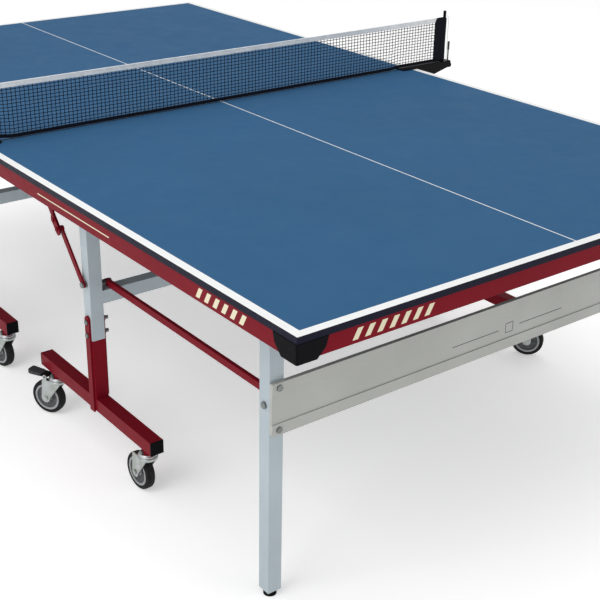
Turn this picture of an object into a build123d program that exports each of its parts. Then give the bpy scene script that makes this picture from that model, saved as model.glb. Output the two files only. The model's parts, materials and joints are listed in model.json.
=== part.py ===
from build123d import *
import os
from math import atan2, degrees, hypot

# Folding table-tennis table in millimetres: two identical roll-away halves and a net set.
# +X is the length (the near half lies on +X), +Y the width, +Z up, the floor is z = 0.
# Only the near half is described; the far half is the near half turned 180 degrees about Z.

# ---- playing surface -------------------------------------------------------------------
TABLE_LENGTH = 2740.0
TABLE_WIDTH = 1525.0
TABLE_HEIGHT = 760.0
HALF_GAP = 6.0              # joint between the two halves at the net
BOARD_THICK = 15.5
BAND_THICK = 2.0            # lipping glued round the board

# ---- steel frame under the board -----------------------------------------------------
RAIL_DEPTH = 39.0
RAIL_WIDTH = 25.0
RAIL_WALL = 1.5
RAIL_INSET = 4.0            # rail face back from the board's edge
CROSS_DEPTH = 25.0
NET_RAIL_INSET = 5.0
MID_RAIL_BACK = 598.0       # middle cross rail from the table's end
GUARD_THICK = 5.0
GUARD_TOP = 68.0            # corner guard's length along each face, under the board
GUARD_BOTTOM = 42.0
GUARD_DROP = 2.5            # guard below the rail
GUARD_TUCK = 6.0            # its side edge drawn in at half height

# ---- square tubes of posts and legs --------------------------------------------------
TUBE = 35.0
TUBE_WALL = 2.0
POST_X = 407.0
POST_IN = 98.5              # post axes in from the table's side edges
PIVOT_DROP = 54.5           # board pivots under the board, on posts and on end legs
POST_OVER_PIVOT = 18.0
LEG_BACK_X = 229.5          # leg axes from the table's end
LEG_IN = 114.0              # and in from its side edges
LEG_OVER_PIVOT = 42.0
LEG_PLUG = 10.0
LINK_DROP = 206.0           # link bar pivots below the board pivots
CROSS_TUBE_DROP = 220.0     # cross tube's top below the board pivots

# ---- running gear ---------------------------------------------------------------------
FOOT_WIDTH = 36.0
FOOT_RISE = 24.0            # foot beams' underside over the caster crowns
FOOT_INNER = 302.0          # beam length from the post towards the braked caster
FOOT_OUTER = 285.0          # and towards the plain caster
FOOT_WALL = 2.5
CAP_THICK = 3.0
CAP_PLUG = 12.0             # end cap's length inside the beam
SLEEVE_R = 15.0
SET_BOLT_R = 6.5            # bolt head on the side of each sleeve
SET_BOLT_STEPS = (0.0, 5.0)
SLEEVE_IN_BRAKE = 60.0      # caster sleeve from the beam's end
SLEEVE_IN_PLAIN = 45.0
JOINT_RISE = 166.0          # light post meets the red one this far over the beam
TONGUE_RISE = 66.0          # tongue plates' top over that joint
TONGUE_WIDTH = 22.0
TONGUE_THICK = 5.0
TONGUE_DROP = 4.0           # outer tongue plate below the foot beam
TONGUE_BOLT_RISES = (49.0, 12.0)

# ---- casters -------------------------------------------------------------------------
WHEEL_R = 50.0
WHEEL_WIDTH = 26.0
TYRE_THICK = 11.0
HUB_WIDTH = 24.0
TRAIL = 35.0
CROWN_RISE = 12.0           # crown's top over the tyre
CROWN_R = 26.0
CROWN_THICK = 10.0
CROWN_GAP = 1.0             # crown clear of the sleeve
FORK_THICK = 3.0
FORK_GAP = 2.0              # fork cheek clear of the tyre, each side
STEM_R = 8.0
AXLE_R = 4.0
AXLE_NUT = 3.0
AXLE_NUT_R = 7.0
CHEEK_R = 13.0              # fork cheeks' round end about the axle
LUG_R = 6.0                 # pedal hinge lugs
TYRE_ROUND = 5.0
PEDAL_PIVOT_X = 34.0        # pedal pin from the stem
PEDAL_PIVOT_RISE = 5.0      # and over the crown
PEDAL_PIN_R = 2.5
PEDAL_REACH = 92.0
PEDAL_THICK = 5.0
PEDAL_PAD = 18.0            # raised tread at the pedal's tip
PEDAL_PAD_IN = 3.0
PEDAL_PAD_RISE = 2.0

# ---- links and fasteners -------------------------------------------------------------
PIN_R = 5.0
RUN = 0.1                   # radial running clearance of every pin
SIDE_GAP = 0.5              # side play between moving faces
EAR_THICK = 4.0
EAR_R = 16.0
PLATE_SPREAD = 1.9          # clevis plate's half length over its ears' radius
PLATE_LIP = 6.0             # and its overhang past the ears
HEAD_R = 8.0
HEAD_THICK = 5.0
LOW_HEAD = 4.0              # flat rivet heads
WASHER = 2.0                # links off the legs
TONGUE_HEAD_R = 7.0
BOLT_OVER = 8.0             # tongue bolts' ends past their nuts
LINK_HEIGHT = 17.0
LINK_THICK = 10.0
BRACE_WIDTH = 16.0
BRACE_THICK = 5.0
BRACE_POST_DROP = 199.0     # knee brace pivot on the post, below the board pivot
BRACE_REACH = 202.0         # knee brace pivot under the board, netward of the post
BRACE_BOARD_DROP = 17.5     # and below the board
BRACE_GAP = 5.0             # lower brace link off the post's face
BRACE_EAR = 3.0             # ears of the brace's clevis
BRACE_INNER_EAR = 1.4
BRACE_PLATE_THICK = 3.5
BRACE_PLATE_HALF = 26.0
RIVET_R = 7.0               # elbow rivet
CLIP_BACK = 6.0             # elbow clip, from the elbow each way along the upper link
CLIP_ALONG = 30.0
CLIP_WIDTH = 21.0
CLIP_THICK = 3.0
CLIP_RIVETS = (0.0, 26.0)
CLIP_RIVET_R = 6.0

# ---- end panel and levelling feet ---------------------------------------------------
PANEL_DROP = 64.0           # panel's lower edge below the link bar pivots
PANEL_HEIGHT = 122.0
PANEL_RIB = 27.0
PANEL_THICK = 10.0
PANEL_WEB = 8.0
PANEL_BOLT_IN = 12.0        # bolts from the panel's top and bottom edges
PANEL_HEAD = 3.0
PANEL_HEAD_R = 7.0
RIB_ROUND = 4.0             # panel's corner radius
LEVEL_R = 15.0
LEVEL_PAD = 8.0
LEVEL_NECK = 6.0
LEVEL_STEM = 45.0

# ---- net set --------------------------------------------------------------------------
NET_HEIGHT = 152.5
NET_OVERHANG = 152.5        # net past each side of the table
NET_THICK = 3.0
NET_LIFT = 2.0              # net's lower edge over the playing surface
SLEEVE_W = 52.0             # pockets at the net's ends
SLEEVE_T = 14.0
POCKET_DROP = 13.0
POLE_R = 5.0
POLE_IN = 18.0              # pole axis from the net's end
POLE_OVER = 20.0
JAW_LENGTH = 60.0           # clamp plate over the table top
JAW_WIDTH = 50.0
JAW_THICK = 5.0
ARM_WIDTH = 26.0
ARM_DROP = 36.0
ARM_GAP = 2.0               # arm clear of the board's edge
ARM_OVER = 12.0             # arm past the net's end
HOOK_IN = 2.5               # hook rod's axis from the arm's end
HOOK_HEIGHT = 66.0
HOOK_R = 2.5
KNOB_R = 9.0
KNOB_LENGTH = 10.0
KNOB_DROP = 12.0            # knob's axis under the table top
KNOB_STEM = 13.0
KNOB_ROUND = 3.0

# ---- worked out from the sizes above -------------------------------------------------
BOARD_BOTTOM = TABLE_HEIGHT - BOARD_THICK
HALF_X0 = HALF_GAP / 2
HALF_X1 = TABLE_LENGTH / 2
EDGE_Y = TABLE_WIDTH / 2
RAIL_Y = EDGE_Y - RAIL_INSET
RAIL_X = HALF_X1 - RAIL_INSET
RAIL_Z = BOARD_BOTTOM - RAIL_DEPTH
MID_RAIL_X = HALF_X1 - MID_RAIL_BACK
HALF_TUBE = TUBE / 2
POST_Y = EDGE_Y - POST_IN
LEG_X = HALF_X1 - LEG_BACK_X
LEG_Y = EDGE_Y - LEG_IN
PIVOT_Z = BOARD_BOTTOM - PIVOT_DROP
POST_FACE = POST_Y + HALF_TUBE          # outer face, away from the middle
POST_BACK = POST_Y - HALF_TUBE
LEG_FACE = LEG_Y + HALF_TUBE
LEG_BACK = LEG_Y - HALF_TUBE
LINK_Z = PIVOT_Z - LINK_DROP
LINK_Y1 = LEG_BACK - WASHER             # bar's outer face
LINK_Y0 = LINK_Y1 - LINK_THICK
NUT_Y1 = LINK_Y0 - 2 * SIDE_GAP         # nuts inside the link bars
NUT_Y0 = NUT_Y1 - HEAD_THICK
CROSS_TUBE_TOP = PIVOT_Z - CROSS_TUBE_DROP
CROWN_Z = 2 * WHEEL_R + CROWN_RISE
PEDAL_PIVOT_Z = CROWN_Z + PEDAL_PIVOT_RISE
FOOT_Z = CROWN_Z + FOOT_RISE
FOOT_TOP = FOOT_Z + FOOT_WIDTH
JOINT_Z = FOOT_TOP + JOINT_RISE
TONGUE_TOP = JOINT_Z + TONGUE_RISE
TONGUE_BOLTS = [JOINT_Z + rise for rise in TONGUE_BOLT_RISES]
PANEL_Z = LINK_Z - PANEL_DROP
LOWER_Y0 = POST_FACE + BRACE_GAP        # lower brace link's inner face
LOWER_Y1 = LOWER_Y0 + BRACE_THICK
UPPER_Y0 = LOWER_Y1 + WASHER
UPPER_Y1 = UPPER_Y0 + BRACE_THICK
BRACE_POST_Z = PIVOT_Z - BRACE_POST_DROP
BRACE_BOARD_X = POST_X - BRACE_REACH
BRACE_BOARD_Z = BOARD_BOTTOM - BRACE_BOARD_DROP
BRACE_RUN = hypot(POST_X - BRACE_BOARD_X, BRACE_BOARD_Z - BRACE_POST_Z)
BRACE_LINK = BRACE_RUN / 2              # both links alike, in line when the table is open
FORK_HALF = WHEEL_WIDTH / 2 + FORK_GAP  # middle of the fork to a cheek's inner face
LEG_BOTTOM = LEVEL_PAD + LEVEL_NECK
NET_Y = EDGE_Y + NET_OVERHANG
POLE_Y = NET_Y - POLE_IN
ARM_END = NET_Y + ARM_OVER
KNOB_Z = TABLE_HEIGHT - KNOB_DROP
NET_TOP = TABLE_HEIGHT + NET_HEIGHT


def block(x0, x1, y0, y1, z0, z1):
    """Solid box between two corners."""
    centre = Pos((x0 + x1) / 2, (y0 + y1) / 2, (z0 + z1) / 2)
    return centre * Box(abs(x1 - x0), abs(y1 - y0), abs(z1 - z0))


def rod_y(x, z, y0, y1, radius):
    """Round bar along Y."""
    return Pos(x, (y0 + y1) / 2, z) * Rot(90, 0, 0) * Cylinder(radius, abs(y1 - y0))


def rod_x(y, z, x0, x1, radius):
    """Round bar along X."""
    return Pos((x0 + x1) / 2, y, z) * Rot(0, 90, 0) * Cylinder(radius, abs(x1 - x0))


def rod_z(x, y, z0, z1, radius):
    """Round bar along Z."""
    return Pos(x, y, (z0 + z1) / 2) * Cylinder(radius, abs(z1 - z0))


def hollow(x0, x1, y0, y1, z0, z1, wall, along):
    """Rectangular tube, open at both ends of the axis named by along."""
    inset = {axis: (0 if axis == along else wall) for axis in "xyz"}
    bore = block(x0 + inset["x"], x1 - inset["x"], y0 + inset["y"], y1 - inset["y"],
                 z0 + inset["z"], z1 - inset["z"])
    return block(x0, x1, y0, y1, z0, z1) - bore


def bar_between(x0, z0, x1, z1, y0, y1, width):
    """Flat bar with round ends, from one pivot to another in the XZ plane."""
    length = hypot(x1 - x0, z1 - z0)
    turn = degrees(atan2(z1 - z0, x1 - x0))
    flat = Box(length, abs(y1 - y0), width)
    ends = [rod_y(side * length / 2, 0, -abs(y1 - y0) / 2, abs(y1 - y0) / 2, width / 2)
            for side in (-1, 1)]
    return Pos((x0 + x1) / 2, (y0 + y1) / 2, (z0 + z1) / 2) * Rot(0, -turn, 0) * (flat + ends)


def hex_y(x, z, y0, y1, radius):
    """Hexagon nut or bolt head, its axis along Y."""
    prism = extrude(RegularPolygon(radius, 6), abs(y1 - y0) / 2, both=True)
    return Pos(x, (y0 + y1) / 2, z) * Rot(90, 0, 0) * prism


def bolt_y(x, z, y_head, y_nut, over=1.0, head=HEAD_R):
    """Bolt along Y: domed head outside y_head, hexagon nut beyond y_nut, its end over past the nut."""
    out = 1 if y_head > y_nut else -1
    shank = rod_y(x, z, y_head, y_nut - out * (HEAD_THICK + over), PIN_R)
    cap = rod_y(x, z, y_head, y_head + out * HEAD_THICK, head)
    rim = cap.edges().filter_by(GeomType.CIRCLE).sort_by(Axis.Y)[-1 if out > 0 else 0]
    nut = hex_y(x, z, y_nut, y_nut - out * HEAD_THICK, head)
    return shank + fillet(rim, HEAD_THICK * 0.6) + nut


def both_sides(make):
    """A shape made on the +Y side and its mirror image on the -Y side."""
    one = make()
    return [one, mirror(one, about=Plane.XZ)]


# ---- board body -------------------------------------------------------------------------
def board():
    edge = BAND_THICK
    return [block(HALF_X0 + edge, HALF_X1 - edge, -EDGE_Y + edge, EDGE_Y - edge,
                  BOARD_BOTTOM, TABLE_HEIGHT)]


def edge_band():
    edge = BAND_THICK
    outer = block(HALF_X0, HALF_X1, -EDGE_Y, EDGE_Y, BOARD_BOTTOM, TABLE_HEIGHT)
    rim = outer.edges().filter_by(Axis.Z).sort_by(Axis.X)[-2:]
    return [fillet(rim, edge) - block(HALF_X0 + edge, HALF_X1 - edge, -EDGE_Y + edge,
                                      EDGE_Y - edge, BOARD_BOTTOM, TABLE_HEIGHT)]


def frame_rails():
    net_x = HALF_X0 + NET_RAIL_INSET
    inner_y = RAIL_Y - RAIL_WIDTH
    end_x = RAIL_X - RAIL_WIDTH
    sides = both_sides(lambda: hollow(net_x, end_x, inner_y, RAIL_Y, RAIL_Z, BOARD_BOTTOM,
                                      RAIL_WALL, "x"))
    end = hollow(end_x, RAIL_X, -RAIL_Y, RAIL_Y, RAIL_Z, BOARD_BOTTOM, RAIL_WALL, "y")
    crosses = [hollow(x, x + RAIL_WIDTH, -inner_y, inner_y, BOARD_BOTTOM - CROSS_DEPTH,
                      BOARD_BOTTOM, RAIL_WALL, "y") for x in (net_x, MID_RAIL_X)]
    return sides + [end] + crosses


def corner_guards():
    """Moulded angle over the frame's corner, its sides drawn in towards the bottom."""
    bottom = RAIL_Z - GUARD_DROP

    def cheek(plane):
        top = GUARD_TOP + GUARD_THICK
        low = GUARD_BOTTOM + GUARD_THICK
        outline = Polyline((0, BOARD_BOTTOM), (-top, BOARD_BOTTOM),
                           (GUARD_TUCK - top, (BOARD_BOTTOM + bottom) / 2),
                           (-low, bottom), (0, bottom), close=True)
        return extrude(plane * make_face(outline), GUARD_THICK)

    def guard():
        corner_x = RAIL_X + GUARD_THICK
        corner_y = RAIL_Y + GUARD_THICK
        side = cheek(Plane(origin=(corner_x, corner_y, 0), x_dir=(1, 0, 0), z_dir=(0, -1, 0)))
        end = cheek(Plane(origin=(RAIL_X, corner_y, 0), x_dir=(0, 1, 0), z_dir=(1, 0, 0)))
        lip = block(corner_x - GUARD_BOTTOM, corner_x, corner_y - GUARD_BOTTOM, corner_y,
                    bottom, RAIL_Z)
        shape = side + end + lip
        upright = [e for e in shape.edges().filter_by(Axis.Z)
                   if e.center().X > RAIL_X + 1 and e.center().Y > RAIL_Y + 1]
        return fillet(upright, GUARD_THICK * 0.8)

    return both_sides(guard)


def ear(x, z, y0, y1, top, radius):
    """Upright ear with a round lower end about a pivot."""
    return block(x - radius, x + radius, y0, y1, z, top) + rod_y(x, z, y0, y1, radius)


def clevis(x, face, back):
    """Plate on the board's underside, two ears astride a tube and the bolt through them."""
    top = BOARD_BOTTOM
    plate = top - EAR_THICK
    spread = EAR_R * PLATE_SPREAD
    body = block(x - spread, x + spread, back - SIDE_GAP - EAR_THICK - PLATE_LIP,
                 face + SIDE_GAP + EAR_THICK + PLATE_LIP, plate, top)
    for y0, y1 in ((face + SIDE_GAP, face + SIDE_GAP + EAR_THICK),
                   (back - SIDE_GAP - EAR_THICK, back - SIDE_GAP)):
        body += ear(x, PIVOT_Z, y0, y1, plate, EAR_R)
    outer = EAR_THICK + SIDE_GAP
    return body + bolt_y(x, PIVOT_Z, face + outer, back - outer)


def board_fittings():
    """Clevises of posts, end legs and knee braces, with their pins."""
    def brace_clevis():
        x, z = BRACE_BOARD_X, BRACE_BOARD_Z
        plate = BOARD_BOTTOM - BRACE_PLATE_THICK
        outer, inner = UPPER_Y1 + SIDE_GAP, UPPER_Y0 - SIDE_GAP
        shape = block(x - BRACE_PLATE_HALF, x + BRACE_PLATE_HALF, UPPER_Y0 - PLATE_LIP,
                      UPPER_Y1 + PLATE_LIP, plate, BOARD_BOTTOM)
        for y0, y1 in ((outer, outer + BRACE_EAR), (inner - BRACE_INNER_EAR, inner)):
            shape += ear(x, z, y0, y1, plate, BRACE_WIDTH / 2)
        pin = rod_y(x, z, inner, outer, PIN_R)
        return shape + pin + rod_y(x, z, outer + BRACE_EAR, outer + 2 * BRACE_EAR, HEAD_R)

    return (both_sides(lambda: clevis(POST_X, POST_FACE, POST_BACK))
            + both_sides(lambda: clevis(LEG_X, LEG_FACE, LEG_BACK))
            + both_sides(brace_clevis))


# ---- base body ------------------------------------------------------------------------
def posts():
    """Two light posts joined by a cross tube."""
    def post():
        top = PIVOT_Z + POST_OVER_PIVOT
        tube = hollow(POST_X - HALF_TUBE, POST_X + HALF_TUBE, POST_BACK, POST_FACE,
                      JOINT_Z, top, TUBE_WALL, "z")
        tube += block(POST_X - HALF_TUBE, POST_X + HALF_TUBE, POST_BACK, POST_FACE,
                      top - TUBE_WALL, top)
        tube -= rod_y(POST_X, PIVOT_Z, POST_BACK - 1, POST_FACE + 1, PIN_R + RUN)
        for z in TONGUE_BOLTS:
            tube -= rod_y(POST_X, z, POST_BACK - 1, POST_FACE + 1, PIN_R)
        return tube

    cross = hollow(POST_X - HALF_TUBE, POST_X + HALF_TUBE, -POST_BACK, POST_BACK,
                   CROSS_TUBE_TOP - TUBE, CROSS_TUBE_TOP, TUBE_WALL, "y")
    return both_sides(post) + [cross]


def foot_span(side):
    """Beam ends in X on one side: the braked caster sits netward at -Y and outward at +Y."""
    if side < 0:
        return POST_X - FOOT_INNER, POST_X + FOOT_OUTER
    return POST_X - FOOT_OUTER, POST_X + FOOT_INNER


def stems(side):
    """X of the caster stems on one side, braked caster first."""
    low, high = foot_span(side)
    if side < 0:
        return low + SLEEVE_IN_BRAKE, high - SLEEVE_IN_PLAIN
    return high - SLEEVE_IN_BRAKE, low + SLEEVE_IN_PLAIN


def foot_frames():
    """Foot beams with caster sleeves, and the red lower posts with their tongue plates."""
    solids = []
    half = FOOT_WIDTH / 2
    for side in (-1, 1):
        low, high = foot_span(side)
        y = side * POST_Y
        beam = hollow(low, high, y - half, y + half, FOOT_Z, FOOT_TOP, FOOT_WALL, "x")
        solids.append(beam)
        for x in stems(side):
            sleeve = rod_z(x, y, CROWN_Z + CROWN_GAP, FOOT_Z, SLEEVE_R)
            solids.append(sleeve - rod_z(x, y, CROWN_Z, FOOT_Z + 1, STEM_R + RUN))
        lower = hollow(POST_X - HALF_TUBE, POST_X + HALF_TUBE, y - HALF_TUBE, y + HALF_TUBE,
                       FOOT_TOP, JOINT_Z, TUBE_WALL, "z")
        tongue_r = TONGUE_WIDTH / 2
        round_z = TONGUE_TOP - tongue_r
        for face in (1, -1):
            y0 = side * (POST_Y + face * HALF_TUBE)
            y1 = side * (POST_Y + face * (half + TONGUE_THICK))
            lower += block(POST_X - tongue_r, POST_X + tongue_r, y0, y1, FOOT_TOP, round_z)
            lower += rod_y(POST_X, round_z, y0, y1, tongue_r)
        skirt_y = side * (POST_Y + half)
        lower += block(POST_X - tongue_r, POST_X + tongue_r, skirt_y,
                       skirt_y + side * TONGUE_THICK, FOOT_Z - TONGUE_DROP, FOOT_TOP)
        for z in TONGUE_BOLTS:
            lower -= rod_y(POST_X, z, y - HALF_TUBE - 10, y + HALF_TUBE + 10, PIN_R)
        solids.append(lower)
    return solids


def end_caps():
    """Black plugs in the ends of the foot beams."""
    half = FOOT_WIDTH / 2
    fit = half - FOOT_WALL
    caps = []
    for side in (-1, 1):
        y = side * POST_Y
        for end, out in zip(foot_span(side), (-1, 1)):
            plug = block(end, end + out * CAP_THICK, y - half, y + half, FOOT_Z, FOOT_TOP)
            plug += block(end - out * CAP_PLUG, end, y - fit, y + fit, FOOT_Z + FOOT_WALL,
                          FOOT_TOP - FOOT_WALL)
            caps.append(plug)
    return caps


def base_bolts():
    """Tongue bolts, link bar pins, brace pins and the set bolts of the caster sleeves."""
    solids = []
    for z in TONGUE_BOLTS:
        reach = FOOT_WIDTH / 2 + TONGUE_THICK
        solids += both_sides(lambda: bolt_y(POST_X, z, POST_Y + reach, POST_Y - reach,
                                            BOLT_OVER, TONGUE_HEAD_R))

    def link_pin():
        spacer = rod_y(POST_X, LINK_Z, LINK_Y1 + SIDE_GAP, POST_BACK, HEAD_R)
        pin = rod_y(POST_X, LINK_Z, NUT_Y1, LINK_Y1 + SIDE_GAP, PIN_R)
        return spacer + pin + hex_y(POST_X, LINK_Z, NUT_Y1, NUT_Y0, HEAD_R)

    def brace_pin():
        spacer = rod_y(POST_X, BRACE_POST_Z, POST_FACE, LOWER_Y0 - SIDE_GAP, HEAD_R)
        pin = rod_y(POST_X, BRACE_POST_Z, LOWER_Y0 - SIDE_GAP, LOWER_Y1 + SIDE_GAP, PIN_R)
        head = rod_y(POST_X, BRACE_POST_Z, LOWER_Y1 + SIDE_GAP, LOWER_Y1 + LOW_HEAD, HEAD_R)
        return spacer + pin + head

    solids += both_sides(link_pin) + both_sides(brace_pin)
    z = (CROWN_Z + CROWN_GAP + FOOT_Z) / 2
    for side in (-1, 1):
        for x in stems(side):
            y0, y1 = (side * (POST_Y + SLEEVE_R + step) for step in SET_BOLT_STEPS)
            solids.append(hex_y(x, z, y0, y1, SET_BOLT_R))
    return solids


# ---- end leg body ---------------------------------------------------------------------
def end_legs():
    def leg():
        top = PIVOT_Z + LEG_OVER_PIVOT
        tube = hollow(LEG_X - HALF_TUBE, LEG_X + HALF_TUBE, LEG_BACK, LEG_FACE,
                      LEG_BOTTOM, top, TUBE_WALL, "z")
        plug = block(LEG_X - HALF_TUBE, LEG_X + HALF_TUBE, LEG_BACK, LEG_FACE,
                     LEG_BOTTOM, LEG_BOTTOM + LEG_PLUG)
        tube += plug + block(LEG_X - HALF_TUBE, LEG_X + HALF_TUBE, LEG_BACK, LEG_FACE,
                             top - TUBE_WALL, top)
        tube -= rod_z(LEG_X, LEG_Y, LEG_BOTTOM - 1, LEG_BOTTOM + LEG_PLUG + 1, PIN_R + RUN)
        tube -= rod_y(LEG_X, PIVOT_Z, LEG_BACK - 1, LEG_FACE + 1, PIN_R + RUN)
        tube -= rod_y(LEG_X, LINK_Z, LEG_BACK - 1, LEG_FACE + 1, PIN_R)
        return tube

    return both_sides(leg)


def end_panel():
    """Pressed panel tying the end legs: two deep ribs with a thinner web between them."""
    x0 = LEG_X + HALF_TUBE
    top = PANEL_Z + PANEL_HEIGHT
    panel = block(x0, x0 + PANEL_WEB, -LEG_FACE, LEG_FACE, PANEL_Z, top)
    for z0, z1 in ((PANEL_Z, PANEL_Z + PANEL_RIB), (top - PANEL_RIB, top)):
        panel += block(x0, x0 + PANEL_THICK, -LEG_FACE, LEG_FACE, z0, z1)
    corners = panel.edges().filter_by(Axis.X).group_by(Axis.Y)
    outer = [e for e in corners[0] + corners[-1] if e.length > PANEL_WEB + 1]
    return [fillet(outer, RIB_ROUND)]


def leg_bolts():
    """Panel bolts along X and the link bar pins along Y."""
    x0 = LEG_X + HALF_TUBE + PANEL_THICK
    solids = []
    for z in (PANEL_Z + PANEL_BOLT_IN, PANEL_Z + PANEL_HEIGHT - PANEL_BOLT_IN):
        solids += both_sides(lambda: rod_x(LEG_Y, z, x0, x0 + PANEL_HEAD, PANEL_HEAD_R))

    def link_pin():
        head = rod_y(LEG_X, LINK_Z, LEG_FACE, LEG_FACE + LOW_HEAD, HEAD_R)
        pin = rod_y(LEG_X, LINK_Z, NUT_Y1, LEG_FACE, PIN_R)
        washer = rod_y(LEG_X, LINK_Z, LINK_Y1 + SIDE_GAP, LEG_BACK, HEAD_R)
        return head + pin + washer + hex_y(LEG_X, LINK_Z, NUT_Y1, NUT_Y0, HEAD_R)

    return solids + both_sides(link_pin)


def levelling_foot(side):
    """Round pad with a neck and a threaded stem that turns in the leg's plug."""
    y = side * LEG_Y
    pad = rod_z(LEG_X, y, 0, LEVEL_PAD, LEVEL_R)
    pad = chamfer(pad.edges().filter_by(GeomType.CIRCLE).sort_by(Axis.Z)[-1], LEVEL_PAD * 0.4)
    neck = rod_z(LEG_X, y, LEVEL_PAD, LEG_BOTTOM - SIDE_GAP, LEVEL_R * 0.6)
    return [pad + neck + rod_z(LEG_X, y, LEVEL_PAD, LEVEL_PAD + LEVEL_STEM, PIN_R)]


# ---- links ----------------------------------------------------------------------------
def link_bars():
    def link():
        bar = bar_between(POST_X, LINK_Z, LEG_X, LINK_Z, LINK_Y0, LINK_Y1, LINK_HEIGHT)
        for x in (POST_X, LEG_X):
            bar -= rod_y(x, LINK_Z, LINK_Y0 - 1, LINK_Y1 + 1, PIN_R + RUN)
        return bar

    return both_sides(link)


def brace_elbow():
    """Elbow of the knee brace when the table is open: both links in line."""
    share = BRACE_LINK / BRACE_RUN
    return (POST_X + (BRACE_BOARD_X - POST_X) * share,
            BRACE_POST_Z + (BRACE_BOARD_Z - BRACE_POST_Z) * share)


def brace_lower():
    """Link from the post to the elbow, with its half of the elbow rivet."""
    ex, ez = brace_elbow()

    def link():
        bar = bar_between(POST_X, BRACE_POST_Z, ex, ez, LOWER_Y0, LOWER_Y1, BRACE_WIDTH)
        bar -= rod_y(POST_X, BRACE_POST_Z, LOWER_Y0 - 1, LOWER_Y1 + 1, PIN_R + RUN)
        return bar + rod_y(ex, ez, LOWER_Y0 - CLIP_THICK, LOWER_Y0, RIVET_R)

    return both_sides(link)


def brace_upper():
    """Link from the elbow to the board, with the clip that squares the elbow."""
    ex, ez = brace_elbow()
    qx, qz = BRACE_BOARD_X, BRACE_BOARD_Z
    run = BRACE_LINK
    ux, uz = (qx - ex) / run, (qz - ez) / run

    def link():
        bar = bar_between(ex, ez, qx, qz, UPPER_Y0, UPPER_Y1, BRACE_WIDTH)
        bar -= rod_y(qx, qz, UPPER_Y0 - 1, UPPER_Y1 + 1, PIN_R + RUN)
        face = UPPER_Y1 + CLIP_THICK
        bar += bar_between(ex - CLIP_BACK * ux, ez - CLIP_BACK * uz, ex + CLIP_ALONG * ux,
                           ez + CLIP_ALONG * uz, UPPER_Y1, face, CLIP_WIDTH)
        for along in CLIP_RIVETS:
            bar += rod_y(ex + along * ux, ez + along * uz, face, face + CLIP_THICK, CLIP_RIVET_R)
        return bar

    return both_sides(link)


# ---- casters --------------------------------------------------------------------------
def at_stem(x, side, heading, shape):
    """Put a caster part, made with its stem on the Z axis and trailing along +X."""
    return Pos(x, side * POST_Y, 0) * Rot(0, 0, heading) * shape


def fork(braked):
    """Zinc crown and cheeks with the axle, and the stem that turns in its sleeve."""
    gap = FORK_HALF
    outside = gap + FORK_THICK
    crown_bottom = CROWN_Z - CROWN_THICK
    crown_middle = CROWN_Z - CROWN_THICK / 2
    body = rod_z(0, 0, crown_bottom, CROWN_Z, CROWN_R)
    body = fillet(body.edges().filter_by(GeomType.CIRCLE), CROWN_THICK * 0.4)
    body += block(0, TRAIL * 0.75, -outside, outside, crown_bottom, crown_middle)
    outline = Polyline((-STEM_R, crown_middle), (TRAIL + STEM_R, crown_middle),
                       (TRAIL + CHEEK_R, WHEEL_R), (TRAIL - CHEEK_R, WHEEL_R),
                       (-STEM_R * 2, crown_bottom - RUN), close=True)
    for y0 in (gap, -outside):
        plane = Plane(origin=(0, y0, 0), x_dir=(1, 0, 0), z_dir=(0, -1, 0))
        cheek = extrude(plane * make_face(outline), -FORK_THICK)
        body += cheek + rod_y(TRAIL, WHEEL_R, y0, y0 + FORK_THICK, CHEEK_R)
    body -= rod_y(TRAIL, WHEEL_R, -gap, gap, WHEEL_R + FORK_GAP)
    body += rod_y(TRAIL, WHEEL_R, -outside - AXLE_NUT, outside + AXLE_NUT, AXLE_R)
    for y0, y1 in ((outside, outside + AXLE_NUT), (-outside - AXLE_NUT, -outside)):
        body += hex_y(TRAIL, WHEEL_R, y0, y1, AXLE_NUT_R)
    if braked:
        x, z = PEDAL_PIVOT_X, PEDAL_PIVOT_Z
        for y0 in (gap, -outside):
            body += block(x - LUG_R, x + LUG_R, y0, y0 + FORK_THICK, crown_bottom, z)
            body += rod_y(x, z, y0, y0 + FORK_THICK, LUG_R)
        body -= rod_y(x, z, -outside - 1, outside + 1, PEDAL_PIN_R + RUN)
    return body + rod_z(0, 0, CROWN_Z - 1, FOOT_Z - 1, STEM_R)


def wheel():
    """Tyre and hub as two solids."""
    half = WHEEL_WIDTH / 2
    rim_r = WHEEL_R - TYRE_THICK
    tyre = rod_y(TRAIL, WHEEL_R, -half, half, WHEEL_R)
    tyre = fillet(tyre.edges().filter_by(GeomType.CIRCLE), TYRE_ROUND)
    tyre -= rod_y(TRAIL, WHEEL_R, -half, half, rim_r)
    hub = rod_y(TRAIL, WHEEL_R, -HUB_WIDTH / 2, HUB_WIDTH / 2, rim_r)
    hub -= rod_y(TRAIL, WHEEL_R, -HUB_WIDTH, HUB_WIDTH, AXLE_R + RUN)
    return [tyre, hub]


def pedal():
    """Brake pedal over the wheel, hinged behind the crown."""
    half = FORK_HALF - SIDE_GAP
    base = PEDAL_PIVOT_Z - PEDAL_THICK / 2
    top = base + PEDAL_THICK
    plate = block(PEDAL_PIVOT_X - PEDAL_THICK, PEDAL_REACH, -half, half, base, top)
    plate = fillet(plate.edges().filter_by(Axis.Z), PEDAL_THICK)
    tip = block(PEDAL_REACH - PEDAL_PAD, PEDAL_REACH - PEDAL_PAD_IN, -half + PEDAL_PAD_IN,
                half - PEDAL_PAD_IN, top, top + PEDAL_PAD_RISE)
    pin = FORK_HALF + FORK_THICK
    return [plate + tip + rod_y(PEDAL_PIVOT_X, PEDAL_PIVOT_Z, -pin, pin, PEDAL_PIN_R)]


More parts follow.
